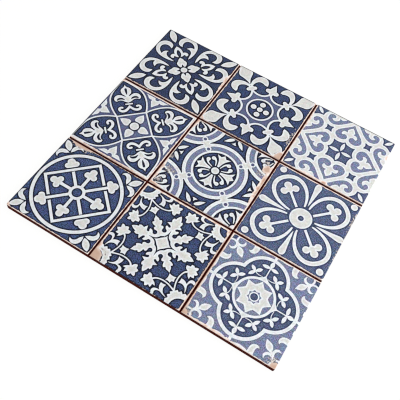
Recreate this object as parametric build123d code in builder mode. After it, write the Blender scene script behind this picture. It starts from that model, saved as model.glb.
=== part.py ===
"""A pressed and glazed ceramic tile, scored into nine square panels, with a keyed back.

It lies on its back with the glazed face up. The origin is the centre of the back,
and X and Y run along the edges.
"""

import os

from build123d import *

# Body
face_size = 330.0  # edge to edge, both ways
thickness = 9.0  # back to glazed face
corner_ease = 0.6  # the four upright corners are this much rounder than the face's edges
back_bevel = 1.0  # eases the back's edges so that the press die lets go

# Scored joints that divide the face into panels
middle_panel = 112.6  # from one groove's centre to the next
grid_shift = 1.6  # how far the scored grid lies off centre, along Y
groove_width = 2.6  # across the mouth, before its shoulders are rounded
groove_floor = 1.4  # across the flat bottom
groove_depth = 2.2
cushion_radius = 0.9  # rounds every edge of each panel's face

# Keys pressed into the back for the adhesive
key_size = 45.0  # across a key's mouth
key_web = 8.0  # rib left between two keys
key_depth = 1.0
key_corner = 5.0  # corner radius of the mouth
key_draft = 20.0  # lean of the walls in degrees
back_margin = 6.0  # least width of the plain rim round the keys

half_face = face_size / 2
corner_radius = cushion_radius + corner_ease  # leaves the face's soft edge room to turn the corner
key_pitch = key_size + key_web
key_room = half_face - back_bevel - back_margin + key_web / 2
keys_per_row = 2 * int(key_room // key_pitch)  # even, so that two ribs cross at the origin


# One key, as the press die's stud leaves it
with BuildPart() as key:
    with BuildSketch():
        RectangleRounded(key_size, key_size, key_corner)
    extrude(amount=key_depth, taper=key_draft)


with BuildPart() as tile:
    # Pressed blank, with its upright corners and back edges eased
    with BuildSketch():
        RectangleRounded(face_size, face_size, corner_radius)
    extrude(amount=thickness)
    chamfer(tile.faces().sort_by(Axis.Z)[0].edges(), back_bevel)

    # Scored grooves, two each way, open at both ends
    for across, grid_middle in ((Plane.XZ, 0.0), (Plane.YZ, grid_shift)):
        with BuildSketch(across):
            with Locations([(grid_middle + side * middle_panel / 2, thickness) for side in (-1, 1)]):
                Polygon(
                    (-groove_width / 2, 0),
                    (-groove_floor / 2, -groove_depth),
                    (groove_floor / 2, -groove_depth),
                    (groove_width / 2, 0),
                    align=None,
                )
        extrude(amount=half_face, both=True, mode=Mode.SUBTRACT)

    # Every panel's face gets a soft edge all round
    panel_faces = tile.faces().filter_by(Plane.XY).group_by(Axis.Z)[-1]
    fillet(panel_faces.edges(), cushion_radius)

    # Keys all over the back, inside its plain rim
    with GridLocations(key_pitch, key_pitch, keys_per_row, keys_per_row):
        add(key.part, mode=Mode.SUBTRACT)

tile.part.label = "tile"
os.makedirs("parts", exist_ok=True)
export_step(tile.part, "parts/tile.step")
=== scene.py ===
import math
from collections import Counter

import bmesh
import bpy
import numpy as np
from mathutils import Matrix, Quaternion, Vector
from mathutils.geometry import delaunay_2d_cdt
from mathutils.kdtree import KDTree


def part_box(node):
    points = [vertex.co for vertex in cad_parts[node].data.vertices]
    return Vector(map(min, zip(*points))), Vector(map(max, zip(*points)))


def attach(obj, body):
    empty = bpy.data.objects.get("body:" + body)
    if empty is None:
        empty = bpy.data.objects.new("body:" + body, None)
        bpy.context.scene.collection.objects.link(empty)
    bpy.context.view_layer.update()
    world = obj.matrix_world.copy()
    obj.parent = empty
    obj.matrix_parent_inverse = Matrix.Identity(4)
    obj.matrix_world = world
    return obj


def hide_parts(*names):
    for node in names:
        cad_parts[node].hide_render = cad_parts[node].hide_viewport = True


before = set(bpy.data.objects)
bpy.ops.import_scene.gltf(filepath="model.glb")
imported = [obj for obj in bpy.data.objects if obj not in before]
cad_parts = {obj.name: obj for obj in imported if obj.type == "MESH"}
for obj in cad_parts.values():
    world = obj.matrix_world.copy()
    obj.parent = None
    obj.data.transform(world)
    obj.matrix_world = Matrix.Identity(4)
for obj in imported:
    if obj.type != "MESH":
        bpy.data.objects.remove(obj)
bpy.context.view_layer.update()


# Fired body
# One slab of red clay, pressed and fired, with two scored joints each way across its face and keys in
# its back. It is a copy of the CAD tile, open where the nine flat panels were, for the prints to fill.
mm = 0.001
face_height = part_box("tile")[1].z

tile = bpy.data.objects.new("printed_tile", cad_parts["tile"].data.copy())
tile.data.materials.clear()
bpy.context.scene.collection.objects.link(tile)
bpy.ops.object.select_all(action="DESELECT")
tile.select_set(True)
bpy.context.view_layer.objects.active = tile
bpy.ops.object.mode_set(mode="EDIT")
bpy.ops.mesh.select_mode(type="FACE")
bpy.ops.mesh.select_all(action="SELECT")
bpy.ops.mesh.remove_doubles(threshold=0.001 * mm)
bpy.ops.mesh.customdata_custom_splitnormals_clear()
bpy.ops.mesh.select_all(action="DESELECT")
bpy.ops.object.mode_set(mode="OBJECT")
for face in tile.data.polygons:
    face.select = face.normal.z > 0.999 and face.center.z > face_height - 0.01 * mm
bpy.ops.object.mode_set(mode="EDIT")
bpy.ops.mesh.delete(type="FACE")
bpy.ops.object.mode_set(mode="OBJECT")


def open_rims(mesh):
    """The corner points in millimetres round each hole in the mesh, in order."""
    uses = Counter(key for face in mesh.polygons for key in face.edge_keys)
    beside = {}
    for (a, b), count in uses.items():
        if count == 1:
            beside.setdefault(a, []).append(b)
            beside.setdefault(b, []).append(a)
    rims = []
    while beside:
        here = next(iter(beside))
        rim = []
        while here in beside:
            rim.append(tuple(mesh.vertices[here].co.xy / mm))
            ahead = [v for v in beside.pop(here) if v in beside]
            here = ahead[0] if ahead else None
        rims.append(rim)
    return rims


panel_rims = open_rims(tile.data)


# Scroll print, far left panel
# A transfer print under the glaze: white scrolls, buds and leaves left out of a navy ground.
# A shape is an ink and an outline in millimetres about the print's middle, and later shapes cover earlier.
NAVY, WASHED_NAVY, SLATE, SKY, WHITE = range(5)


def curve_through(points, steps=5):
    """A smooth line through the points, without the last of them."""
    first, last = np.array(points[0], float), np.array(points[-1], float)
    before, after = 2 * first - points[1], 2 * last - points[-2]
    knots = [before, *np.array(points, float), after]
    line = []
    for a, b, c, d in zip(knots, knots[1:], knots[2:], knots[3:]):
        for t in np.arange(steps) / steps:
            bend = t * t * (a - 2.5 * b + 2 * c - d / 2) + t ** 3 * (1.5 * (b - c) + (d - a) / 2)
            line.append(tuple(b + t * (c - a) / 2 + bend))
    return line


def outline(*stretches):
    """A closed outline. Each stretch starts at a corner and runs smoothly through its points to the next."""
    line = []
    for here, following in zip(stretches, stretches[1:] + stretches[:1]):
        line += curve_through(here + following[:1]) if len(here) > 1 else here
    return line


def disc(x, y, radius, sides=28):
    turns = [2 * math.pi * k / sides for k in range(sides)]
    return [(x + radius * math.cos(t), y + radius * math.sin(t)) for t in turns]


def leaf(base, tip, half_width):
    """A leaf pointed at both ends, widest halfway."""
    along = np.subtract(tip, base)
    across = np.array((-along[1], along[0])) * half_width / math.hypot(*along)
    left, right = [], []
    for share, width in ((0.2, 0.66), (0.5, 1.0), (0.8, 0.66)):
        left.append(tuple(base + share * along + width * across))
        right.append(tuple(base + share * along - width * across))
    return outline([base] + right, [tip] + left[::-1])


def mirrored(shapes):
    """The shapes and their images on the other side of the upright axis."""
    return shapes + [(ink, [(-x, y) for x, y in line]) for ink, line in shapes]


def across_diagonal(shapes):
    """The shapes and their images on the other side of the rising diagonal."""
    return shapes + [(ink, [(y, x) for x, y in line]) for ink, line in shapes]


def four_ways(shapes):
    """The shapes turned to all four sides."""
    made = []
    for _ in range(4):
        made += shapes
        shapes = [(ink, [(-y, x) for x, y in line]) for ink, line in shapes]
    return made


scroll = outline(
    [(5.3, 18.2), (3.8, 23), (3, 30), (3.6, 38), (5.6, 44), (9, 48.6), (14, 51.6), (20, 52.4),
     (26, 51), (30, 47.5), (31.8, 43), (31.5, 38.5), (29.5, 35), (26.5, 33.4)],
    [(22.5, 33.3), (24.3, 36.5), (25, 40), (24.2, 43.3), (21.8, 45.8), (18, 46.7), (14, 45.6), (10.5, 43)],
    [(8, 39.3), (11, 39.3), (13.6, 38.2), (15.6, 36)],
    [(17, 33.4), (14.4, 34.2), (11.4, 33.7), (8.8, 31.5), (7.2, 28), (6.6, 23.5)],
)
petal = outline(
    [(15.3, 15.5), (10.8, 15.2), (8.2, 14.1), (6, 14), (3.4, 12.6), (1.5, 8.5), (1.6, 6)],
    [(2.9, 5)],
    [(7, 7)],
    [(5, 2.9), (6, 1.6), (8.5, 1.5), (12.6, 3.4), (14, 6), (14.1, 8.2), (15.2, 10.8)],
)
bud = outline(
    [(29.8, 29.8), (24.2, 29.3), (19.6, 27.4), (16, 23.6), (14.2, 19.4)],
    [(15, 17.6)],
    [(17.6, 15), (19.4, 14.2), (23.6, 16), (27.4, 19.6), (29.3, 24.2)],
)
bud_curl = outline(
    [(16.8, 25.2), (15, 27), (12.4, 27.7), (9.8, 26.7), (8.9, 24.4), (9.8, 22.4)],
    [(11.2, 21.9), (12.2, 22.9), (13.4, 22.4)],
    [(14.2, 19.2)],
    [(16, 22.5)],
)
scroll_print = four_ways(
    mirrored([(WHITE, scroll)]) + across_diagonal([(WHITE, bud_curl)])
    + [(WHITE, petal), (WHITE, bud), (NAVY, leaf((15.4, 15.4), (25.4, 25.4), 2.6)),
       (WHITE, leaf((34.6, 34.8), (51.4, 51.4), 4.6))]
) + [(WHITE, disc(0, 0, 4.4))]


# Lily print, far middle panel
# Four lilies tied at the corners of a curved slate field, with a ring of five dots in its middle.
# Its lines are left white by a stencil, so they keep one width.


def brush_line(points, widths, steps=5):
    """A brushed line through the points, with one width or a width at each point."""
    if len(points) == 2:
        steps = 1
        line = list(points)
    else:
        line = curve_through(points, steps) + [points[-1]]
    widths = widths if isinstance(widths, list) else [widths] * len(points)
    left, right = [], []
    for k, (x, y) in enumerate(line):
        ahead, behind = line[min(k + 1, len(line) - 1)], line[max(k - 1, 0)]
        dx, dy = ahead[0] - behind[0], ahead[1] - behind[1]
        half = np.interp(k / steps, range(len(widths)), widths) / 2 / math.hypot(dx, dy)
        left.append((x - dy * half, y + dx * half))
        right.append((x + dy * half, y - dx * half))
    return left + right[::-1]


field_edge = [(0, 29.4), (2.6, 26), (5, 23.4), (8.5, 21.5), (12.5, 20.7), (16.5, 20.9), (22, 22.4)]
field = outline(
    field_edge[:-1],
    [(22, 22)] + [(y, x) for x, y in field_edge[-2:0:-1]],
    [(29.4, 0)],
    [(0, 0)],
)
lily_petal = outline(
    [(29.4, 29.4), (30, 33.4), (30.3, 37), (29.3, 42), (27, 46.5), (23, 49.8), (18.5, 50.8), (14, 49.3),
     (11, 46), (9.6, 42.4)],
    [(9.2, 39.6), (11.5, 39.2), (13.8, 39.6), (16, 40.5), (19.5, 40.9), (22.5, 39.5), (24.8, 36.3),
     (25.8, 33)],
    [(26, 28)],
)
lily_leaf = outline(
    [(28, 28), (31.8, 33.6), (33.8, 39), (34.8, 44), (35.4, 47.8), (37.5, 50.6), (41, 52.4)],
    [(46, 54)],
    [(54, 54)],
    [(54, 46), (52.4, 41), (50.6, 37.5), (47.8, 35.4), (44, 34.8), (39, 33.8), (33.6, 31.8)],
)
spear = outline(
    [(0, 48.4), (1.5, 45), (3.3, 41.4)],
    [(4.7, 37.8), (6.8, 37.5), (8.7, 36), (9, 33.8), (7.8, 31.7), (5.5, 31)],
    [(2.8, 31)],
    [(2.2, 27.4)],
    [(0, 27)],
)
lily_print = four_ways(
    [(SLATE, field)]
    + across_diagonal([
        (WHITE, brush_line(field_edge, 2.8)), (WHITE, lily_petal), (WHITE, disc(21.6, 27.9, 2.7)),
    ])
    + [(WHITE, lily_leaf), (WHITE, disc(25.2, 25.2, 4.4))] + mirrored([(WHITE, spear)])
)
lily_print += [(WHITE, disc(0, 0, 17.7, 56)), (NAVY, disc(0, 0, 15.2, 56)), (WHITE, disc(0, 0, 3.7))]
lily_print += four_ways([(WHITE, disc(8.8, 0, 3.8))])


# Heart print, far right panel
# Pale blue hearts on white, each made of two curls, round a dark star, with half hearts at the edges.
# The darker stars and corners are printed last.
half_heart = outline(
    [(0, 47.8), (3, 44), (7, 40), (11, 36), (14.5, 32), (16.7, 28), (16.8, 24.5), (15, 21.5), (11.5, 19.4),
     (8, 19.1), (4.5, 20), (2.3, 22.2), (1.9, 24.8), (3, 27), (5.3, 28), (7.3, 27.4)],
    [(9, 26.2), (10.3, 28), (10.4, 30), (9.3, 32.3), (7, 33.5)],
    [(4, 33.2), (5, 35.2), (4.8, 37.2), (3, 40), (1.2, 42)],
    [(0, 43.2)],
)
edge_heart = outline(
    [(2.4, 53.5), (5, 51), (8, 48), (12, 43.6), (16, 39.5), (20.2, 36.5), (25, 34.9), (30, 36), (33.3, 39),
     (34.4, 42.8), (33.8, 46.5), (31.5, 48.7), (28.5, 49), (26.4, 47.3), (26.3, 45)],
    [(28.4, 43.8)],
    [(29.8, 43.2), (28.8, 41.2), (26, 40), (23, 40.6), (20.8, 42.6), (19.7, 45)],
    [(20.3, 47.6), (18, 46.2), (16, 46.2), (13.5, 48), (11.5, 50.6)],
    [(10.4, 53.5)],
)
star_quarter = outline(
    [(0, 16.8), (2.4, 14.6), (5, 13.7), (8, 13.2), (11, 13.3)],
    [(14.1, 14.1), (13.3, 11), (13.2, 8), (13.7, 5), (14.6, 2.4)],
    [(16.8, 0)],
    [(0, 0)],
)
small_star = outline(
    [(21.6, 21.6), (22.9, 26.2)],
    [(21.6, 30.8), (26.2, 29.5)],
    [(30.8, 30.8), (29.5, 26.2)],
    [(30.8, 21.6), (26.2, 22.9)],
)
heart_corner = outline(
    [(40.8, 40.8), (40.5, 44.5), (39.4, 47.6), (37.4, 50.2)],
    [(34.6, 53.5)],
    [(54, 54)],
    [(53.5, 34.6), (50.2, 37.4), (47.6, 39.4), (44.5, 40.5)],
)
heart_print = four_ways(
    mirrored([(SKY, half_heart), (SKY, edge_heart)])
    + [(WASHED_NAVY, star_quarter), (WASHED_NAVY, small_star), (WASHED_NAVY, heart_corner),
       (WHITE, leaf((42, 42), (51.6, 51.6), 2.5))]
)
heart_print += four_ways([(WHITE, leaf((0, 0.8), (0, 15.2), 2.5))])


# Petal print, middle left panel
# Four navy petals, lined in white on slate, hold lilies that grow from the middle flower to the corners.
# Small tridents fill the sides.
petal_side = [(0, 25.4), (2.6, 30.6), (5.8, 35.8), (10, 41), (15, 45.6), (20, 48.8), (25, 50.6), (30, 51.6),
              (40, 52.2)]
petal_corner = (52.3, 52.3)
big_petal = outline(petal_side, [petal_corner] + [(y, x) for x, y in petal_side[:0:-1]], [(25.4, 0)])
tall_leaf = outline(
    [(30.6, 30.6), (32.2, 36), (32.3, 39.6), (33.9, 43), (36.5, 45.3), (39, 45.9), (43, 45.3)],
    [(46.6, 46.6), (45.3, 43), (45.9, 39), (45.3, 36.5), (43, 33.9), (39.6, 32.3), (36, 32.2)],
)
side_leaf = outline(
    [(32.4, 32.4), (31, 36), (30.2, 40), (28.4, 43), (25.5, 44.7), (22.4, 44.6), (19.5, 43), (18.3, 40.4)],
    [(18.7, 38.3), (21, 37.6), (23, 35.8), (24.2, 33), (24.6, 30)],
    [(26, 26)],
)
side_slit = outline(
    [(19.8, 39.1), (22.6, 40.5), (25.6, 39.2), (27.5, 36.2)],
    [(27, 31.4), (25.2, 35.4), (23.6, 37.3), (21.6, 38.4)],
)
foot_curl = brush_line(
    [(23, 21.8), (18.5, 21.4), (14.4, 21.6), (11, 23.6), (9.7, 26.8), (10.8, 29.3), (13.1, 29.7),
     (14.8, 28.3)],
    [3.0, 3.2, 3.6, 3.6, 3.4, 3.0, 2.8, 3.0],
)
trident = outline(
    [(0, 35.4), (1.4, 37.6), (3.2, 40.6)],
    [(5.5, 44.2), (5, 45.6)],
    [(5.4, 46.6), (7.5, 46), (10.5, 46.8), (12.8, 48.9)],
    [(16.4, 51.2)],
    [(0, 51.2)],
)
flower_leaf = outline([(0, 7), (3.6, 7.2), (5.3, 10), (4.6, 13.4), (2.6, 17.2)], [(0, 20.4)])
petal_print = four_ways(
    [(NAVY, big_petal), (WHITE, brush_line([(0, 25.4), (25.4, 0)], 2.1))]
    + across_diagonal([
        (WHITE, brush_line(petal_side + [petal_corner], 2.1)), (WHITE, side_leaf), (NAVY, side_slit),
        (WHITE, foot_curl), (WHITE, disc(14.9, 27.8, 1.5)),
    ])
    + [(WHITE, tall_leaf), (NAVY, brush_line([(35.2, 35.2), (38.4, 38.4), (41.4, 41.4)], [0.8, 2.6, 2.9])),
       (NAVY, disc(41.4, 41.4, 1.45, 16)), (WHITE, brush_line([(21.2, 27.8), (27.8, 21.2)], 2.2))]
)
petal_print += four_ways(mirrored([(WHITE, trident), (WHITE, flower_leaf)]) + [(SLATE, disc(0, 51, 2.8))])
petal_print += [(NAVY, disc(0, 0, 7.1, 40)), (WHITE, disc(0, 0, 5.6, 40))]


# Ring print, middle panel
# A pale blue band between two white lines rings a flower, and four more such rings, cut by the panel's
# corners, are knotted to it.
ring_places = [(0, 0), (55, 55), (-55, 55), (-55, -55), (55, -55)]
fan = outline(
    [(0, 6.4)],
    [(1.2, 6.4), (1.8, 9), (2.9, 13), (4.8, 17)],
    [(9.2, 22.2), (6, 21.6)],
    [(3.2, 20.9), (1.6, 22.8)],
    [(0, 24.8)],
)
comma = brush_line([(3.2, 6), (4.2, 9), (5.6, 12.2), (7.8, 14.5), (10.2, 14.9)], [1.2, 1.5, 1.9, 2.8, 3.8])
ring_flower = four_ways(
    mirrored([(WHITE, fan)]) + across_diagonal([(WHITE, comma), (WHITE, disc(10.2, 14.8, 2.6))])
)
ring_flower.append((WHITE, disc(0, 0, 4.8)))
knot = outline(
    [(21.2, 27.2)],
    [(24.4, 30.6)],
    [(27.2, 33.8), (33, 33)],
    [(33.8, 27.2)],
    [(30.6, 24.4)],
    [(27.2, 21.2), (22, 22)],
)
edge_leaf = outline(
    [(12.8, 42.8), (11, 46.5), (8.5, 50.2), (5, 52.6), (2.6, 52.4), (2.4, 50.6), (4, 48.4), (7.5, 45.2)]
)
dart = outline([(0, 49.6), (1.2, 46.8)], [(3.5, 44.9)], [(0, 44.4)])
ring_print = []
for ink, radius in ((WHITE, 38.7), (SKY, 34.4), (WHITE, 28.4), (NAVY, 25.6)):
    ring_print += [(ink, disc(x, y, radius, 72)) for x, y in ring_places]
for x, y in ring_places:
    ring_print += [(ink, [(x + u, y + v) for u, v in line]) for ink, line in ring_flower]
ring_print += four_ways(
    [(WHITE, knot)]
    + [(ink, disc(p, p, radius)) for p in (22.1, 32.6) for ink, radius in ((WHITE, 3.6), (SLATE, 2.0))]
    + mirrored([(WHITE, edge_leaf), (WHITE, dart)])
)


# Loop print, middle right panel
# Four open loops round clover sprigs, with drops between them, on a paler, thinner navy than the rest.
loop_start = [
    (3, 15.8), (3.7, 21), (5.4, 27.5), (8.6, 34.3), (13.5, 40.3), (19.8, 44.5), (27, 46), (34, 44.4),
]
loop_widths = [1.8, 2.6, 3.2, 3.8, 4.4, 4.9, 5.1, 5.2]
loop = brush_line(
    loop_start + [(40, 40)] + [(y, x) for x, y in loop_start[::-1]],
    loop_widths + [5.2] + loop_widths[::-1],
)
drop = outline([(0, 18.6), (1.2, 25), (2, 32), (2.8, 39), (3.7, 45), (4, 48.6), (3, 51.6)], [(0, 53.4)])
clover_discs = ((31.8, 31.9, 4.6), (28, 28, 4.6), (22.3, 32.3, 4.4), (32.3, 22.3, 4.4))
clover = [(WHITE, disc(x, y, r)) for x, y, r in clover_discs]
loop_print = four_ways([(WHITE, loop), (WHITE, brush_line([(10.6, 10.6), (28, 28)], 3.0))] + clover)
loop_print += four_ways(mirrored([(WHITE, drop)]))
loop_print += [(WHITE, disc(sx * 46.1, sy * 48.1, 4.1)) for sx in (1, -1) for sy in (1, -1)]
loop_print += [(WHITE, disc(0, 0, 13.2, 56)), (WASHED_NAVY, disc(0, 0, 3.4))]


# Wheel print, near left panel
# A hub with eight spokes in a square frame and a ring. Two of the long spokes cross over the frame to the
# clovers outside, and the frame is cut back round them.
frame_tip, frame_line = 45.8, 3.4
inner_tip = frame_tip - frame_line * math.sqrt(2)
outer_clover = outline(
    [(21.6, 26.4), (19.8, 28.6), (20, 31.6), (22.2, 33.6), (24.6, 33.4)],
    [(25.9, 32.5), (28, 34), (31, 34), (33.4, 32.2), (34, 31), (34, 28)],
    [(32.5, 25.9), (33.4, 24.6), (33.6, 22.2), (31.6, 20), (28.6, 19.8)],
    [(26.4, 21.6)],
)
crescent = outline(
    [(38.3, 39.2), (39.6, 43), (39.5, 47), (37.5, 50.5), (34, 52.6), (30, 52.2), (27.6, 50.2)],
    [(26.6, 47.6), (29, 48.6), (31.5, 48.4), (34, 46.3), (35.4, 43)],
)
wheel_print = [(WHITE, disc(0, 0, 51.3, 96)), (NAVY, disc(0, 0, 47.2, 96))]
for ink, tip in ((WHITE, frame_tip), (NAVY, inner_tip)):
    wheel_print.append((ink, [(tip, 0), (0, tip), (-tip, 0), (0, -tip)]))
for side in (1, -1):
    wheel_print += [
        (NAVY, brush_line([(side * 18, side * 18), (side * 27, side * 27)], 7.4)),
        (WHITE, brush_line([(side * 6, side * 6), (side * 25, side * 25)], 3.6)),
        (WHITE, brush_line([(-side * 6, side * 6), (-side * 20, side * 20)], 3.6)),
    ]
spoke_clover = ((0, 31.2, 4.3), (4.2, 25.3, 3.8), (-4.2, 25.3, 3.8), (0, 27.2, 3.6))
wheel_print += four_ways(
    [(WHITE, brush_line([(0, 8), (0, 24)], 3.8))]
    + [(WHITE, disc(x, y, r)) for x, y, r in spoke_clover]
    + [(WHITE, outer_clover), (WHITE, leaf((40.2, 40.2), (52, 52), 4.0))]
    + across_diagonal([(WHITE, crescent)])
)
wheel_print += [(WHITE, disc(0, 0, 9.4, 48)), (NAVY, disc(0, 0, 5.8, 40))]


# Leaf print, near middle panel
# Eight toothed leaves grow from a pinched square. Vines with blossoms and horns join the corner rosettes.
leaf_side = (
    [(0, 39.3), (1.6, 37.2), (2.9, 34.6)], [(3.3, 32.4)], [(5.1, 32.9), (6.2, 30.4)], [(5.2, 27), (7.2, 26)],
    [(9.5, 24.4), (6.2, 23.4), (4, 22.4), (3.2, 20.8), (4.4, 19.8), (6.2, 20.6)],
    [(7.8, 20.8), (7.8, 18.6), (6.4, 16.6), (4.3, 15.2), (4.2, 13), (6, 11.5), (8.3, 12), (9.2, 14),
     (9.1, 16.2)],
    [(10.4, 17.9), (12, 17.6)], [(13.1, 17.1), (13.4, 19.6), (14.4, 22)], [(15.8, 23.2)],
    [(17.6, 21.7), (19.6, 23.4), (22, 23.9)], [(24.7, 24.7)],
)
half_leaves = outline(*leaf_side, [(0, 0)])
pinched_line = outline(
    [(0, 18), (0.7, 12.5), (2.2, 9.2), (4.4, 7.2), (6.2, 6.2), (7.2, 4.4), (9.2, 2.2), (12.5, 0.7)],
    [(18, 0)],
    [(0, 0)],
)
pinched_square = outline(
    [(0, 10.2), (1.4, 7.8), (3.2, 6), (4.7, 4.7), (6, 3.2), (7.8, 1.4)],
    [(10.2, 0)],
    [(0, 0)],
)
blossom = outline(
    [(8.3, 47.3)], [(10.4, 50.8), (12.4, 49.4)], [(13.2, 47.6)], [(16.1, 49.3), (16.6, 47)], [(16.4, 45)],
    [(19.9, 45.2), (17.6, 42.4)], [(14.6, 40.6)], [(12.6, 39.4), (10.6, 36.2)], [(7.4, 35.2), (6.8, 37.4)],
    [(6.7, 39.3)], [(3.7, 40), (3.9, 42.4)], [(5.2, 44), (4, 46)], [(3.8, 48.2), (6, 48.2)],
)
vine = brush_line(
    [(13.2, 40), (15.6, 37.6), (19.5, 36), (24.5, 35.4), (30, 36), (34.5, 37.4), (39.5, 39.2)],
    [2.2, 1.8, 1.6, 1.6, 1.6, 1.6, 2.0],
)
horn = outline(
    [(23, 38.4), (23.2, 41.5), (24.2, 44.2)],
    [(25.6, 46.2), (22.2, 46.5), (19.4, 48), (18.6, 50.6), (19.6, 53)],
    [(21, 54)],
    [(23, 53), (22.2, 51), (22.8, 49), (24.6, 48), (27, 47.6), (30, 48.6), (33, 49.5)],
    [(36.4, 49.7), (33.4, 48.4), (30.4, 46.6), (28.6, 43.4), (28.4, 40.6)],
    [(29.3, 38), (26, 38.6)],
)
vine_square = outline(
    [(25.2, 33.6), (25.9, 29.4)], [(25.2, 25.2), (29.4, 25.9)], [(33.6, 25.2), (33.1, 28)], [(34.1, 30.8)],
    [(31.5, 31.5)], [(30.8, 34.1), (28, 33.1)],
)
rosette_teeth = [(36.8, 54), (35.4, 50.9), (37.5, 48.6), (35.2, 46.2), (37.7, 43.9), (36, 42), (38.4, 40)]
rosette = rosette_teeth + [(y, x) for x, y in rosette_teeth[::-1]]
rosette += outline([(54, 42), (49.2, 43), (45.4, 45.4), (43, 49.2)], [(42, 54)])
leaf_print = four_ways(across_diagonal([(WHITE, half_leaves)]))
leaf_print += four_ways(
    [(NAVY, pinched_line), (WHITE, pinched_square), (WHITE, vine_square), (WHITE, rosette)]
    + across_diagonal([(WHITE, blossom), (WHITE, vine), (WHITE, horn)])
)


# Quatrefoil print, near right panel
# A white line of four round lobes holds navy with white sprigs, round a ring with an eight-pointed star.
# Outside it, on pale blue, lilies point in from the corners.
lobe_reach, lobe_radius, lobe_line = 22.0, 27.9, 3.7
outer_spread = 1.018  # what lies outside that line was printed a little larger
axis_sprig = [
    (WHITE, leaf((0, 38), (9.9, 37.2), 2.0)),
    (WHITE, leaf((0, 38), (-9.9, 37.2), 2.0)),
    (WHITE, leaf((0, 38), (0, 46.6), 2.3)),
    (WHITE, brush_line([(0, 24), (0, 38.4)], 1.2)),
    (WHITE, outline([(0, 29), (0.9, 26.4), (3, 24.4)], [(7, 21.5)], [(-7, 21.5), (-3, 24.4), (-0.9, 26.4)])),
]
side_sprig = [
    (WHITE, leaf((12.6, 26.6), (6.6, 32.6), 2.1)),
    (WHITE, leaf((12.6, 26.6), (19.2, 31.2), 2.0)),
    (WHITE, leaf((12.4, 27), (17.8, 19.6), 2.0)),
    (WHITE, brush_line([(3, 25), (7, 24.6), (10.4, 25.2), (12.6, 26.8)], [0.5, 0.8, 1.0, 1.4])),
]
corner_leaf = outline(
    [(31.4, 31.4), (32.2, 35), (33.5, 38.4), (36, 40.6), (39, 41.4)],
    [(42.6, 42.6), (41.4, 39), (40.6, 36), (38.4, 33.5), (35, 32.2)],
)
corner_curl = brush_line(
    [(36.8, 50.2), (36, 47), (37.6, 44.4), (40.6, 43.4), (43.8, 44.2), (45.4, 46.6), (45.6, 50), (44.2, 54)],
    [0.4, 2.4, 2.9, 2.7, 2.6, 2.0, 1.8, 2.0],
)
side_crescent = outline(
    [(20.2, 54), (20, 49.5), (20.6, 46), (22.5, 43.2), (25.5, 42), (28, 42.4)],
    [(29.8, 44), (27.6, 44.6), (26.6, 46.5), (26.4, 49.5)],
    [(27, 54)],
)
edge_bow = outline([(2.6, 53.6), (8, 51.2), (13, 50.8), (18, 51.6)], [(21.4, 53.6)])
dark_corner = outline([(46.6, 54)], [(47.4, 49), (49, 47.4)], [(54, 46.6)], [(54, 54)])


def on_circle(radius, eighths):
    turn = eighths * math.pi / 4
    return radius * math.cos(turn), radius * math.sin(turn)


star, gear = [], []
for point in range(8):
    star.append([on_circle(20.2, point), on_circle(16.2, point + 0.24)])
    star.append([on_circle(14.3, point + 0.5), on_circle(16.2, point + 0.76)])
    gear += [on_circle(6.0, point), on_circle(7.9, point + 0.5)]
quatrefoil_print = four_ways([(WHITE, disc(0, lobe_reach, lobe_radius, 64))])
quatrefoil_print += four_ways([(WASHED_NAVY, disc(0, lobe_reach, lobe_radius - lobe_line, 64))])
quatrefoil_print += four_ways(axis_sprig + across_diagonal(side_sprig))
quatrefoil_print += [
    (WHITE, disc(0, 0, 23.1, 64)), (SKY, disc(0, 0, 20.4, 64)), (WHITE, outline(*star)), (SKY, gear),
    (WHITE, disc(0, 0, 5.4)), (WASHED_NAVY, disc(0, 0, 4.1)),
]
outer_shapes = [(WHITE, corner_leaf), (WASHED_NAVY, dark_corner)]
outer_shapes += across_diagonal([(WHITE, corner_curl), (WHITE, side_crescent), (WHITE, edge_bow)])
quatrefoil_print += four_ways(
    [(ink, [(x * outer_spread, y * outer_spread) for x, y in line]) for ink, line in outer_shapes]
)
quatrefoil_print += four_ways([(WHITE, brush_line([(0, 49), (0, 54)], [2.6, 3.4]))])


# Printed faces
# Each panel takes its own print, a little off centre as the transfers were laid, and its ink ran a little
# into the white. A row gives the ground's ink, the print, its offset and how far the ink ran, in
# millimetres. The face is cut along the print's outlines into small triangles that each hold one ink.
print_layout = (
    (NAVY, wheel_print, (-0.4, -0.8), 0.15), (NAVY, leaf_print, (0.3, -0.5), 0.1),
    (SKY, quatrefoil_print, (1.1, 0.2), 0.0),
    (SLATE, petal_print, (-0.8, -0.3), 0.1), (NAVY, ring_print, (0.2, 0.1), 0.1),
    (WASHED_NAVY, loop_print, (1.1, 0.0), 0.0),
    (NAVY, scroll_print, (-0.2, 1.0), 0.15), (NAVY, lily_print, (0.3, 1.0), 0.15),
    (WHITE, heart_print, (0.7, 0.9), 0.3),
)
dot_pitch = 2.0  # between the points that fill the ground and the shapes
dot_clearance = 0.7  # from those points to an outline
touch = 0.001  # nearer than this counts as touching
half_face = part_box("tile")[1].x / mm
soft_edge = 0.9


def kept_inside(line, low, high):
    """The part of an outline inside an upright rectangle."""
    for axis in (0, 1):
        for bound, sign in ((low[axis], 1), (high[axis], -1)):
            kept = []
            for a, b in zip(line, line[1:] + line[:1]):
                a_in, b_in = (sign * (p[axis] - bound) for p in (a, b))
                if a_in >= 0:
                    kept.append(a)
                if (a_in >= 0) != (b_in >= 0):
                    share = a_in / (a_in - b_in)
                    kept.append(tuple(np.add(a, share * np.subtract(b, a))))
            line = kept
    return line


def stepped(line, longest=1.5):
    """The outline with points added where two of them are far apart."""
    made = []
    for a, b in zip(line, line[1:] + line[:1]):
        count = max(math.ceil(math.dist(a, b) / longest), 1)
        made += [tuple(np.add(a, k / count * np.subtract(b, a))) for k in range(count)]
    return made


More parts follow.
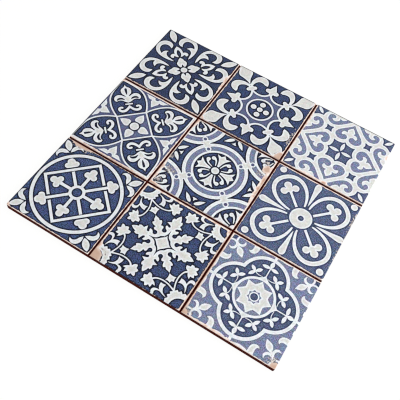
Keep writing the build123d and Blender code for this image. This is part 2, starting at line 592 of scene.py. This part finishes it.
def covers(line, places):
    """Which of the places lie inside the outline, by how often it winds round them."""
    x, y = places.T
    turns = np.zeros(len(places), int)
    for (x0, y0), (x1, y1) in zip(line, line[1:] + line[:1]):
        left = (x1 - x0) * (y - y0) - (x - x0) * (y1 - y0) > 0
        turns += (y0 <= y) & (y < y1) & left
        turns -= (y1 <= y) & (y < y0) & ~left
    return turns != 0


def nearest(points):
    """A search tree of flat points."""
    tree = KDTree(len(points))
    for k, (x, y) in enumerate(points):
        tree.insert((x, y, 0), k)
    tree.balance()
    return tree


def toward_white(points, triangles, inks, low, high):
    """At each point on a white shape's edge, inside the panel's border, the way into the white."""
    sides = {}
    for triangle, ink in zip(triangles, inks):
        for a, b in zip(triangle, np.roll(triangle, -1)):
            sides[a, b] = ink
    ways = np.zeros((len(points), 2))
    for (a, b), ink in sides.items():
        if ink == WHITE and sides.get((b, a), WHITE) != WHITE:
            dx, dy = points[b] - points[a]
            for end in (a, b):
                ways[end] += np.array((-dy, dx)) / math.hypot(dx, dy)
    ways[((points < low + touch) | (points > high - touch)).any(1)] = 0
    return ways / np.maximum(np.hypot(*ways.T), 1)[:, None]


def lay_print(rim, ground, shapes, offset, bleed):
    """One panel's points in millimetres, its triangles, their inks, and the points on the print's edges.

    The ink runs by the bleed, but not so far that it turns a triangle over.
    """
    low, high = np.min(rim, 0), np.max(rim, 0)
    shift = (low + high) / 2 + offset
    laid = []
    for ink, line in shapes:
        line = kept_inside([tuple(p + shift) for p in np.array(line)], low, high)
        if len(line) > 2:
            laid.append((ink, stepped(line)))
    points, edges = [], []
    for line in [stepped(rim)] + [line for _, line in laid]:
        first = len(points)
        points += line
        edges += [(first + k, first + (k + 1) % len(line)) for k in range(len(line))]
    drawn = nearest(points)
    for row, y in enumerate(np.arange(low[1] + dot_pitch, high[1], dot_pitch * 0.866)):
        for x in np.arange(low[0] + dot_pitch * (1 + row % 2 / 2), high[0], dot_pitch):
            if drawn.find((x, y, 0))[2] > dot_clearance:
                points.append((x, y))
    points, _, triangles, *_ = delaunay_2d_cdt([Vector(p) for p in points], edges, [], 0, 1e-4)
    points, triangles = np.array(points), np.array(triangles)
    triangles = triangles[covers(rim, points[triangles].mean(1))]
    middles = points[triangles].mean(1)
    inks = np.full(len(triangles), ground)
    for ink, line in laid:
        line_low, line_high = np.min(line, 0), np.max(line, 0)
        near = np.flatnonzero(((middles >= line_low) & (middles <= line_high)).all(1))
        inks[near[covers(line, middles[near])]] = ink
    lowest, highest = np.full(len(points), WHITE), np.full(len(points), NAVY)
    for corner in triangles.T:
        np.minimum.at(lowest, corner, inks)
        np.maximum.at(highest, corner, inks)
    ways = toward_white(points, triangles, inks, low, high)
    turned = [True]
    while np.any(turned):
        bled = points + bleed * ways
        a, b, c = (bled[corner] for corner in triangles.T)
        turned = (b - a)[:, 0] * (c - a)[:, 1] <= (b - a)[:, 1] * (c - a)[:, 0]
        turned &= ways[triangles].any((1, 2))
        ways[triangles[turned]] = 0
    return bled, triangles, inks, bled[lowest < highest]


print_edges = []
rim_points = []
border_inks = {}
by_place = sorted(panel_rims, key=lambda rim: (round(np.min(rim, 0)[1]), np.min(rim, 0)[0]))
rim_boxes = [(np.min(rim, 0), np.max(rim, 0)) for rim in by_place]
bpy.ops.object.select_all(action="DESELECT")
for number, (rim, laying) in enumerate(zip(by_place, print_layout)):
    points, triangles, inks, edge_points = lay_print(rim, *laying)
    print_edges += [tuple(p) for p in edge_points]
    for axis in (0, 1):
        for end in (0, 1):
            on_border = np.abs(points[triangles][:, :, axis] - rim_boxes[number][end][axis]) < touch
            stretches = []
            for k in np.flatnonzero(on_border.sum(1) == 2):
                stretches.append((*sorted(points[triangles[k][on_border[k]], 1 - axis]), inks[k]))
            border_inks[number, axis, end] = sorted(stretches)
    mesh = bpy.data.meshes.new(f"panel_{number}")
    mesh.from_pydata([(x * mm, y * mm, face_height) for x, y in points], [], triangles.tolist())
    mesh.attributes.new("ink", "FLOAT", "FACE").data.foreach_set("value", inks.astype(np.float32))
    rim_points += [point for rim in open_rims(mesh) for point in rim]
    panel = bpy.data.objects.new(f"panel_{number}", mesh)
    bpy.context.scene.collection.objects.link(panel)
    panel.select_set(True)


# Soft edges
# The glaze runs on over the soft edge round each panel, and the print with it. That edge is cut wherever
# the ink changes along it and every few millimetres for the wear, and its border gets all the points of
# the print's rim, so that the two join without a gap.
longest_stretch = 5.0
shortest_stretch = 1.0
body = bmesh.new()
body.from_mesh(tile.data)
edge_ink = body.faces.layers.float.new("ink")
edge_faces = {}
for face in body.faces:
    middle = face.calc_center_median() / mm
    if face.normal.z > 0.05 and middle.z > face_height / mm - soft_edge:
        beyond = []
        for number, (low, high) in enumerate(rim_boxes):
            past = [(low[0] - middle.x, high[0] - middle.x), (low[1] - middle.y, high[1] - middle.y)]
            side = max((past[axis][end] * (1 - 2 * end), axis, end) for axis in (0, 1) for end in (0, 1))
            beyond.append((*side, number))
        _, axis, end, number = min(beyond)
        edge_faces.setdefault((number, axis, end), []).append(face)
for (number, axis, end), rounded in edge_faces.items():
    stretches = border_inks[number, axis, end]
    cuts = [after[0] for before, after in zip(stretches, stretches[1:]) if before[2] != after[2]]
    starts = np.array([stretch[0] for stretch in stretches])
    for evenly in np.arange(starts[0] + longest_stretch, starts[-1], longest_stretch):
        along = starts[np.argmin(np.abs(starts - evenly))]
        if min((abs(along - other) for other in cuts), default=longest_stretch) > shortest_stretch:
            cuts.append(along)
    for along in cuts:
        place, way = Vector((0, 0, 0)), Vector((0, 0, 0))
        place[1 - axis], way[1 - axis] = along * mm, 1
        parts = set(rounded)
        for face in rounded:
            parts.update(face.edges, face.verts)
        cut = bmesh.ops.bisect_plane(body, geom=list(parts), plane_co=place, plane_no=way, dist=1e-8)
        rounded = [part for part in cut["geom"] if isinstance(part, bmesh.types.BMFace)]
    for face in rounded:
        along = face.calc_center_median()[1 - axis] / mm
        face[edge_ink] = stretches[max(np.searchsorted(starts, along) - 1, 0)][2]
        face.material_index = 1
rim_points = np.array(rim_points)
for edge in [edge for edge in body.edges if edge.is_boundary]:
    here, there = edge.verts
    way = np.array((there.co - here.co).xy) / mm
    length = math.hypot(*way)
    from_here = rim_points - np.array(here.co.xy) / mm
    along = from_here @ way / length
    beside = np.abs(from_here @ (-way[1], way[0])) / length < touch
    passed = 0.0
    for stop in sorted(along[beside & (along > touch) & (along < length - touch)]):
        new_edge, here = bmesh.utils.edge_split(edge, here, (stop - passed) / (length - passed))
        edge = new_edge if there in new_edge.verts else edge
        passed = stop
many_sided = [face for face in body.faces if len(face.verts) > 3]
bmesh.ops.triangulate(body, faces=many_sided, quad_method="BEAUTY", ngon_method="BEAUTY")
body.to_mesh(tile.data)
body.free()


# Glaze
# A thin satin glaze over the prints, mottled all over. White is whitest and blue darkest along the print's
# edges and beside bare clay, where the colour pooled. It is worn to the pink clay along the joints and in
# patches, and turns brown and then dark where it runs down into the joints. Along the left and far rims a
# dark line of painted shade is laid over it.


def add_node(tree, kind, inputs=None, **settings):
    """A node with its settings, and values or other nodes' sockets on its inputs."""
    node = tree.nodes.new("ShaderNode" + kind)
    for name, value in settings.items():
        setattr(node, name, value)
    for name, value in (inputs or {}).items():
        if isinstance(value, bpy.types.NodeSocket):
            tree.links.new(value, node.inputs[name])
        else:
            node.inputs[name].default_value = value
    return node


def shade(red, green, blue):
    """A colour as a paint chart gives it, 0 to 255, for a shader."""
    parts = [part / 255 for part in (red, green, blue)]
    return [part / 12.92 if part < 0.04045 else ((part + 0.055) / 1.055) ** 2.4 for part in parts] + [1.0]


def ink_ramp(tree, number, colours):
    """Picks one colour for each ink."""
    inputs = {0: number, 1: 1 / len(colours), 2: 0.5 / len(colours)}
    position = add_node(tree, "Math", inputs, operation="MULTIPLY_ADD").outputs[0]
    ramp = add_node(tree, "ValToRGB", {0: position})
    ramp.color_ramp.interpolation = "CONSTANT"
    while len(ramp.color_ramp.elements) < len(colours):
        ramp.color_ramp.elements.new(0.5)
    for k, colour in enumerate(colours):
        ramp.color_ramp.elements[k].position = k / len(colours)
        ramp.color_ramp.elements[k].color = shade(*colour)
    return ramp.outputs[0]


def blend(tree, share, a, b, mode="MIX"):
    mix = add_node(tree, "Mix", {0: share, 6: a, 7: b}, data_type="RGBA", blend_type=mode)
    return mix.outputs[2]


def between(tree, value, start, end, low=0.0, high=1.0):
    """Maps a value smoothly from start..end to low..high."""
    inputs = {0: value, 1: start, 2: end, 3: low, 4: high}
    return add_node(tree, "MapRange", inputs, interpolation_type="SMOOTHSTEP").outputs[0]


def grain(tree, size, detail=2.0, roughness=0.5):
    """Noise with features of about that size in millimetres."""
    place = add_node(tree, "TexCoord").outputs["Object"]
    inputs = {"Vector": place, "Scale": 1 / (size * mm), "Detail": detail, "Roughness": roughness}
    return add_node(tree, "TexNoise", inputs).outputs[0]


def attribute(tree, name):
    return add_node(tree, "Attribute", attribute_name=name).outputs["Fac"]


def total(tree, a, b, factor=1.0):
    return add_node(tree, "Math", {0: b, 1: factor, 2: a}, operation="MULTIPLY_ADD").outputs[0]


def product(tree, *values):
    while len(values) > 1:
        both = add_node(tree, "Math", {0: values[0], 1: values[1]}, operation="MULTIPLY").outputs[0]
        values = (both,) + values[2:]
    return values[0]


def joint_darkening(tree, height):
    """Where a joint turns brown, and where dark: below the depth in millimetres that its faces carry."""
    ragged = total(tree, height, grain(tree, 4.0, 3.0), 0.4 * mm)
    inputs = {0: attribute(tree, "joint_dark"), 1: mm, 2: ragged}
    below = add_node(tree, "Math", inputs, operation="MULTIPLY_ADD").outputs[0]
    dark_mask = between(tree, below, face_height + 0.05 * mm, face_height + 0.35 * mm, 1.0, 0.0)
    brown_band = between(tree, below, face_height + 0.2 * mm, face_height + 0.6 * mm, 0.8, 0.0)
    return brown_band, dark_mask


glaze = bpy.data.materials.new("printed_glaze")
glaze.use_nodes = True
tree = glaze.node_tree
gloss = tree.nodes["Principled BSDF"]

ink = attribute(tree, "ink")
pooled_inks = ((8, 13, 36), (52, 62, 94), (76, 82, 114), (116, 122, 147), (234, 238, 242))
plain_inks = ((59, 73, 111), (82, 94, 125), (97, 105, 139), (120, 129, 162), (218, 218, 214))
band_brown = shade(158, 100, 78)
pooled = ink_ramp(tree, ink, pooled_inks)
plain = ink_ramp(tree, ink, plain_inks)
is_white = between(tree, ink, 3.4, 3.6)
place = add_node(tree, "TexCoord").outputs["Object"]
right, away, height = add_node(tree, "SeparateXYZ", {0: place}).outputs
ragged = total(tree, attribute(tree, "bare_gap"), grain(tree, 4.0, 5.0, 0.7), -3.0)
bare = between(tree, ragged, -1.65, -1.35, 1.0, 0.0)
inward = product(tree, between(tree, attribute(tree, "edge"), 0.8, 2.3), between(tree, ragged, -1.2, 0.0))
colour = blend(tree, inward, pooled, plain)

mottle = between(tree, grain(tree, 5.0, 3.0), 0.3, 0.7, 0.86, 1.14)
fleck = between(tree, grain(tree, 1.0, 1.0), 0.34, 0.66, 0.15, 1.85)
warmth = between(tree, grain(tree, 3.2, 1.0), 0.3, 0.7)
warmth = blend(tree, warmth, (0.84, 1.0, 1.06, 1), (1.16, 1.0, 0.94, 1))
greenness = between(tree, grain(tree, 4.1, 1.0), 0.3, 0.7)
greenness = blend(tree, greenness, (1.05, 0.9, 1.05, 1), (0.95, 1.1, 0.95, 1))
tint = blend(tree, 1.0, warmth, greenness, "MULTIPLY")
strength = product(tree, mottle, fleck, attribute(tree, "wash"))
dappled = add_node(tree, "VectorMath", {0: colour, "Scale": strength}, operation="SCALE")
dappled = blend(tree, between(tree, ink, 0.4, 1.6, 1.0, 0.55), colour, dappled.outputs[0])
dappled = blend(tree, 1.0, dappled, tint, "MULTIPLY")
cloud = between(tree, grain(tree, 4.0, 4.0, 0.6), 0.3, 0.7, 0.93, 1.06)
cloud = product(tree, cloud, between(tree, grain(tree, 1.2, 1.0), 0.3, 0.7, 0.92, 1.08))
clouded = add_node(tree, "VectorMath", {0: colour, "Scale": cloud}, operation="SCALE").outputs[0]
clouded = blend(tree, 0.25, clouded, tint, "MULTIPLY")
colour = blend(tree, is_white, dappled, clouded)

spots = add_node(tree, "TexVoronoi", {"Vector": place, "Scale": 1 / (13 * mm)}).outputs["Distance"]
colour = blend(tree, between(tree, spots, 0.02, 0.04, 0.75, 0.0), colour, shade(206, 208, 214))

rubbed = total(tree, attribute(tree, "rub"), grain(tree, 2.0, 2.0), 2.4)
rubbed = between(tree, rubbed, 1.87, 2.12, 0.0, 0.85)
crumbs = between(tree, grain(tree, 2.3, 2.0), 0.38, 0.62)
dust = blend(tree, crumbs, shade(100, 92, 96), shade(224, 214, 206))
patchy = between(tree, grain(tree, 5.0, 4.0), 0.35, 0.65)
grimy = between(tree, attribute(tree, "rub"), 0.3, 0.9, 0.0, 0.8)
deep = blend(tree, patchy, shade(202, 162, 140), shade(220, 192, 172))
thin = blend(tree, patchy, shade(240, 210, 196), shade(250, 240, 232))
deep = blend(tree, grimy, deep, shade(204, 172, 152))
thin = blend(tree, grimy, thin, shade(204, 174, 156))
depth = total(tree, attribute(tree, "bare_gap"), grain(tree, 5.0, 3.0), 3.0)
depth = between(tree, depth, -1.4, 0.8)
rounded = between(tree, height, face_height - 0.3 * mm, face_height - 0.02 * mm, 1.0, 0.0)
depth = add_node(tree, "Math", {0: depth, 1: rounded}, operation="MAXIMUM").outputs[0]
clay = blend(tree, depth, deep, thin)
colour = blend(tree, rubbed, colour, dust)
# A dark line along the left and far rims: painted shade.
left = add_node(tree, "Math", {0: right, 1: -1.0}, operation="MULTIPLY").outputs[0]
outer = add_node(tree, "Math", {0: left, 1: away}, operation="MAXIMUM").outputs[0]
painted_rim_shade = between(tree, outer, (half_face - 2.0) * mm, (half_face - soft_edge) * mm, 0.0, 0.85)
colour = blend(tree, painted_rim_shade, colour, shade(24, 24, 36))
colour = blend(tree, bare, colour, clay)
# Joints turn brown, then dark, below a depth that each face carries, set by which way it is turned.
brown_band, dark_mask = joint_darkening(tree, height)
colour = blend(tree, brown_band, colour, band_brown)
far_border = rim_boxes[3][1][1]  # of the middle row, where the dark runs up over the soft edge
wavy = total(tree, away, grain(tree, 4.0, 3.0), 0.5 * mm)
dark_over_edge = between(tree, wavy, (far_border - 0.45) * mm, (far_border + 0.1) * mm)
before_far_row = between(tree, away, (far_border + 1.2) * mm, (far_border + 1.6) * mm, 1.0, 0.0)
dark_over_edge = product(tree, dark_over_edge, before_far_row)
dark_mask = add_node(tree, "Math", {0: dark_mask, 1: dark_over_edge}, operation="MAXIMUM").outputs[0]
colour = blend(tree, dark_mask, colour, shade(56, 8, 3))
tree.links.new(colour, gloss.inputs["Base Color"])
tree.links.new(between(tree, bare, 0.0, 1.0, 0.42, 0.75), gloss.inputs["Roughness"])
gloss.inputs["Specular IOR Level"].default_value = 0.2

rolling = {"Height": grain(tree, 14.0, 2.0), "Strength": 0.12, "Distance": 0.4 * mm}
waves = add_node(tree, "Bump", rolling).outputs[0]
worn_down = {"Height": bare, "Strength": 0.3, "Distance": 0.15 * mm, "Normal": waves}
pits = add_node(tree, "Bump", worn_down, invert=True)
tree.links.new(pits.outputs[0], gloss.inputs["Normal"])


# Bare clay
# The body's own clay has no glaze. It is red-brown on the back, and on the sides it is darkened to maroon:
# painted shade. The scored joints are pale at the top, brown below that, and dark at the bottom.
body_clay = bpy.data.materials.new("fired_clay")
body_clay.use_nodes = True
tree = body_clay.node_tree
matt = tree.nodes["Principled BSDF"]
_, _, height = add_node(tree, "SeparateXYZ", {0: add_node(tree, "TexCoord").outputs["Object"]}).outputs
speckle = between(tree, grain(tree, 2.5, 4.0, 0.7), 0.3, 0.7)
# The sides' darker maroon is painted shade; the back shows the clay's own red-brown.
sides = blend(tree, speckle, shade(52, 9, 4), shade(78, 22, 13))
back = blend(tree, speckle, shade(112, 56, 42), shade(142, 80, 62))
clay = blend(tree, between(tree, height, 1.1 * mm, 1.5 * mm), back, sides)
# Dark at the bottom of the joints, brown above that, pale at the top.
joint_dark = blend(tree, speckle, shade(52, 6, 2), shade(78, 16, 8))
shoulder = blend(tree, speckle, shade(240, 212, 198), shade(252, 238, 230))
brown_band, dark_mask = joint_darkening(tree, height)
joint = blend(tree, dark_mask, blend(tree, brown_band, shoulder, band_brown), joint_dark)
in_joint = between(tree, attribute(tree, "joint_dark"), 4.0, 6.0, 1.0, 0.0)
tree.links.new(blend(tree, in_joint, clay, joint), matt.inputs["Base Color"])
matt.inputs["Roughness"].default_value = 0.85
matt.inputs["Specular IOR Level"].default_value = 0.02
gritty = add_node(tree, "Bump", {"Height": grain(tree, 0.9, 3.0), "Strength": 0.3, "Distance": 0.2 * mm})
tree.links.new(gritty.outputs[0], matt.inputs["Normal"])


# Joining
# The prints are fired onto the body, so the panels and the body are one closed skin. They are welded
# point by point along the soft edges.
tile.data.materials.append(body_clay)
tile.data.materials.append(glaze)
for panel in bpy.context.selected_objects:
    panel.data.materials.append(glaze)
tile.select_set(True)
bpy.context.view_layer.objects.active = tile
bpy.ops.object.join()
bpy.ops.object.mode_set(mode="EDIT")
bpy.ops.mesh.select_all(action="SELECT")
bpy.ops.mesh.remove_doubles(threshold=0.003 * mm)
bpy.ops.object.mode_set(mode="OBJECT")
bpy.ops.object.shade_smooth_by_angle(angle=math.radians(35))

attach(tile, "root")
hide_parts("tile")


# Wear
# The glaze is rubbed through to pink clay along the joints, by the widths for each panel's left, right, near
# and far rim, and in patches, each an oval about its panel's middle: panel, place, half width, half height.
# Elsewhere it is only rubbed dull. The ink's strength differs a little from print to print.
ink_wash = (1.18, 1.0, 1.0, 1.0, 1.0, 1.08, 0.68, 0.93, 1.04)
bare_rims = (
    (-1.0, 0.5, 0.6, 1.2), (1.9, 1.1, -0.3, 2.7), (2.0, -1.0, 0.6, 1.7),
    (-1.0, 1.0, 1.8, 2.7), (1.5, 1.3, 0.3, 1.8), (1.1, -1.0, 0.9, 2.4),
    (-1.0, 0.7, 0.6, -1.0), (1.6, 0.9, 0.4, -1.0), (1.6, -1.0, 0.8, -1.0),
)
bare_patches = (
    (0, -33, 54, 14, 4), (0, -53, -54, 3, 3), (1, -54, -56, 11, 14), (1, -55, -40, 3.5, 10),
    (1, 55, 54, 4, 8), (1, -55, 12, 3, 6),
    (2, -53, -54, 6, 5), (2, 54, -54, 7, 6), (2, -22, -54, 30, 1.5), (3, -54, 55, 6, 5),
    (4, 49.5, 36, 4.8, 6), (4, 55, 10, 4.5, 30), (4, -55, -34, 3.5, 20), (4, -52, -55, 14, 3),
    (4, -55, 50, 3.5, 10), (5, 38, 55, 5, 1.2), (6, 54, 12, 3, 20), (6, 54, 19, 5, 5),
    (7, 60, -58, 14, 20), (7, -55, -53, 5, 4), (8, -14, -53, 20, 2.6), (8, 3, -53, 5, 4),
    (8, -54, 22, 3, 22), (8, 53, 25, 2.5, 4),
)
rubbed_patches = (
    (1, -50, -51, 9, 11), (1, 56, 0, 3, 60), (2, -55, 0, 3, 60), (5, 55, -5, 3, 45),
    (4, -44, -28, 9, 6), (4, -52, -12, 3, 4), (4, -48, -46, 5, 5), (4, 46, 27, 7, 5), (4, 47, 44, 5, 5),
    (5, 53, 30, 3, 14), (2, 50, -50, 7, 6), (7, 52, -18, 2.5, 18), (0, -31, 52, 16, 5),
    (2, -50, -50, 8, 6), (7, 52, -50, 6, 8), (4, 50, 36, 4, 5),
)
ragged_reach = 0.8  # how far a worn rim's outermost bits lie past the middle of its ragged edge
out_of_reach = 9.0  # a gap or a depth at which nothing is worn or darkened


def out_from_oval(from_middle, px, py, rx, ry):
    """How far out each point lies from an oval's middle, 1 on the oval itself."""
    return np.hypot(*((from_middle - (px, py)) / (rx, ry)).T)


places = np.array([v.co for v in tile.data.vertices]) / mm
x, y = places[:, 0], places[:, 1]
edge_tree = nearest(print_edges)
edge_gap = [edge_tree.find((px, py, 0))[2] for px, py in zip(x, y)]
bare_gap = np.full(len(places), out_of_reach)
rub = np.zeros(len(places))
wash = np.ones(len(places))
for number, ((low, high), widths) in enumerate(zip(rim_boxes, bare_rims)):
    inside = (x > low[0] - 1) & (x < high[0] + 1) & (y > low[1] - 1) & (y < high[1] + 1)
    from_rims = (x - low[0], high[0] - x, y - low[1], high[1] - y)
    gap = np.min([from_rim - width for from_rim, width in zip(from_rims, widths)], 0) + ragged_reach
    from_middle = np.array((x, y)).T - (low + high) / 2
    for panel_number, *oval in bare_patches:
        if panel_number == number:
            gap = np.minimum(gap, (out_from_oval(from_middle, *oval) - 1) * min(oval[2:]))
    bare_gap[inside] = gap[inside]
    wash[inside] = ink_wash[number]
    for panel_number, *oval in rubbed_patches:
        if panel_number == number:
            dull = np.clip(1.2 - 0.7 * out_from_oval(from_middle, *oval), 0, 1)
            rub[inside] = np.maximum(rub, dull)[inside]
for name, values in (("edge", edge_gap), ("bare_gap", bare_gap), ("rub", rub), ("wash", wash)):
    layer = tile.data.attributes.new(name, "FLOAT", "POINT")
    layer.data.foreach_set("value", np.array(values, np.float32))
middles = np.array([face.center for face in tile.data.polygons]) / mm
normals = np.array([face.normal for face in tile.data.polygons])
in_joint = (np.max(np.abs(middles[:, :2]), 1) < half_face - 1) & (middles[:, 2] > face_height / mm - 3)
level = np.maximum(np.hypot(normals[:, 0], normals[:, 1]), 0.01)
# The dark begins highest on the walls that are turned to the far side
dark_depth = 0.55 + (0.3 * normals[:, 0] - 0.7 * normals[:, 1]) / level
dark_depth = np.where(in_joint, dark_depth, out_of_reach)
layer = tile.data.attributes.new("joint_dark", "FLOAT", "FACE")
layer.data.foreach_set("value", dark_depth.astype(np.float32))


# Bake map
# The face, with its joints, fills most of the square as seen from above. The four sides lie in strips
# above it, and the back, which has the least to show, is small beside it.
bake_map = tile.data.uv_layers.new(name="OFBake")
corners = np.array([loop.vertex_index for loop in tile.data.loops])
per_corner = np.repeat(np.arange(len(middles)), [face.loop_total for face in tile.data.polygons])
across, along, up = ((places + (half_face, half_face, 0)) / (2 * half_face))[corners].T
facing = normals[per_corner]
spots_on_map = 0.01 + 0.86 * np.array((across, along)).T
under = facing[:, 2] < -0.3
spots_on_map[under] = (0.88, 0.01) + 0.11 * np.array((across, along)).T[under]
upright = np.abs(facing[:, 2] + 0.125) < 0.175
which = np.argmax(np.array((facing[:, 0], -facing[:, 0], facing[:, 1], -facing[:, 1])), 0)
strip = np.array((np.where(which < 2, along, across) * 0.86 + 0.01, 0.88 + 0.028 * which + 0.86 * up)).T
spots_on_map[upright] = strip[upright]
bake_map.data.foreach_set("uv", spots_on_map.ravel().astype(np.float32))


# Floor
# A pale sheet on a light table, so that the tile casts almost no shadow on it.
bpy.ops.mesh.primitive_plane_add(size=12, location=(0, 0, 0))
floor = bpy.context.active_object
floor.name = "floor"
paper = bpy.data.materials.new("pale_floor")
paper.use_nodes = True
sheet = paper.node_tree.nodes["Principled BSDF"]
sheet.inputs["Base Color"].default_value = (0.1, 0.1, 0.0995, 1)
sheet.inputs["Roughness"].default_value = 0.9
sheet.inputs["Specular IOR Level"].default_value = 0.0
sheet.inputs["Emission Color"].default_value = (1, 1, 0.995, 1)
sheet.inputs["Emission Strength"].default_value = 0.92
floor.data.materials.append(paper)


# Light
# A white room and one broad softbox, high up on the right of the tile.
world = bpy.data.worlds.new("white_room")
bpy.context.scene.world = world
world.use_nodes = True
world.node_tree.nodes["Background"].inputs[0].default_value = (1, 1, 1, 1)
world.node_tree.nodes["Background"].inputs[1].default_value = 0.61
softbox_place = Vector((1.0, 0.1, 0.95))
bpy.ops.object.light_add(type="AREA", location=softbox_place)
softbox = bpy.context.active_object
softbox.rotation_euler = (-softbox_place).to_track_quat("-Z", "Y").to_euler()
softbox.data.size = 1.1
softbox.data.energy = 13


# Camera
# Looks down on the tile from beyond its near right corner, rolled a little, as in the photograph.
camera_place = Vector((133.55, -364.77, 577.77)) * mm
looked_at = Vector((5.97, -42.15, 9.0)) * mm
camera_data = bpy.data.cameras.new("camera")
camera_data.lens = 53.5
camera_data.sensor_width = 36
camera = bpy.data.objects.new("camera", camera_data)
camera.location = camera_place
camera.rotation_mode = "QUATERNION"
roll = Quaternion((0, 0, 1), math.radians(11.0))
camera.rotation_quaternion = (looked_at - camera_place).to_track_quat("-Z", "Y") @ roll
bpy.context.scene.collection.objects.link(camera)
bpy.context.scene.camera = camera
bpy.context.scene.view_settings.view_transform = "Standard"
bpy.context.scene.cycles.filter_width = 1.2
